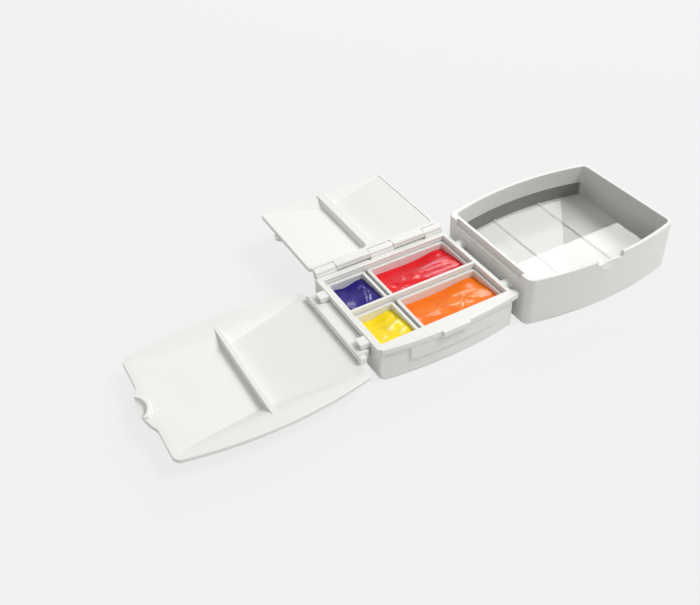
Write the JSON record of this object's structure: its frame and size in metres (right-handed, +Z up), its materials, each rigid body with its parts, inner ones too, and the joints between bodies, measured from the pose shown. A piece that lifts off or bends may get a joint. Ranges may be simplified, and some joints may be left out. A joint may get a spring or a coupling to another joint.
{
  "type": "travel watercolour palette",
  "caption": "Pocket watercolour box laid open, with a folding mixing leaf on a clip strip, a hinged rear leaf, lift-out paint pans and a pull-off water tray.",
  "frame": {"origin": "on the table, at the base of the paint box below the middle of the wells' length", "axes": "+X from the mixing leaf towards the water tray, +Y from the front tab towards the rear leaf, +Z up"},
  "size_m": [0.203, 0.0977, 0.0206],
  "materials": {
    "shell": "satin",
    "pan": "gloss",
    "violet": "gloss",
    "red": "gloss",
    "yellow": "gloss",
    "orange": "gloss",
    "pin": "satin",
    "water": "clear"
  },
  "bodies": {
    "box": {"paint_box": "shell", "rear_hinge_pin": "pin"},
    "rear_leaf": {"rear_leaf": "shell"},
    "clip": {"clip_strip": "shell", "clip_pin": "pin"},
    "mixing_leaf": {"mixing_leaf": "shell"},
    "tray": {"water_tray": "shell", "water": "water"},
    "half_pan_front": {"half_pan_front": "pan", "paint_yellow": "yellow"},
    "half_pan_back": {"half_pan_back": "pan", "paint_violet": "violet"},
    "full_pan_front": {"full_pan_front": "pan", "paint_orange": "orange"},
    "full_pan_back": {"full_pan_back": "pan", "paint_red": "red"}
  },
  "joints": [
    {"name": "rear_leaf_hinge", "type": "hinge", "parent": "box", "child": "rear_leaf", "pos_m": [0, 0.0242, 0.0163], "axis": [-1, 0, 0], "range_deg": [-180, 0]},
    {"name": "clip_pull_off", "type": "slide", "parent": "box", "child": "clip", "axis": [-1, 0, 0], "range_m": [0, 0.008]},
    {"name": "mixing_leaf_hinge", "type": "hinge", "parent": "clip", "child": "mixing_leaf", "pos_m": [-0.03265, 0, 0.01115], "axis": [0, 1, 0], "range_deg": [0, 115]},
    {"name": "tray_pull_off", "type": "slide", "parent": "box", "child": "tray", "axis": [1, 0, 0], "range_m": [0, 0.008]},
    {"name": "half_pan_front_lift", "type": "slide", "parent": "box", "child": "half_pan_front", "axis": [0, 0, 1], "range_m": [0, 0.014]},
    {"name": "half_pan_back_lift", "type": "slide", "parent": "box", "child": "half_pan_back", "axis": [0, 0, 1], "range_m": [0, 0.014]},
    {"name": "full_pan_front_lift", "type": "slide", "parent": "box", "child": "full_pan_front", "axis": [0, 0, 1], "range_m": [0, 0.014]},
    {"name": "full_pan_back_lift", "type": "slide", "parent": "box", "child": "full_pan_back", "axis": [0, 0, 1], "range_m": [0, 0.014]}
  ]
}
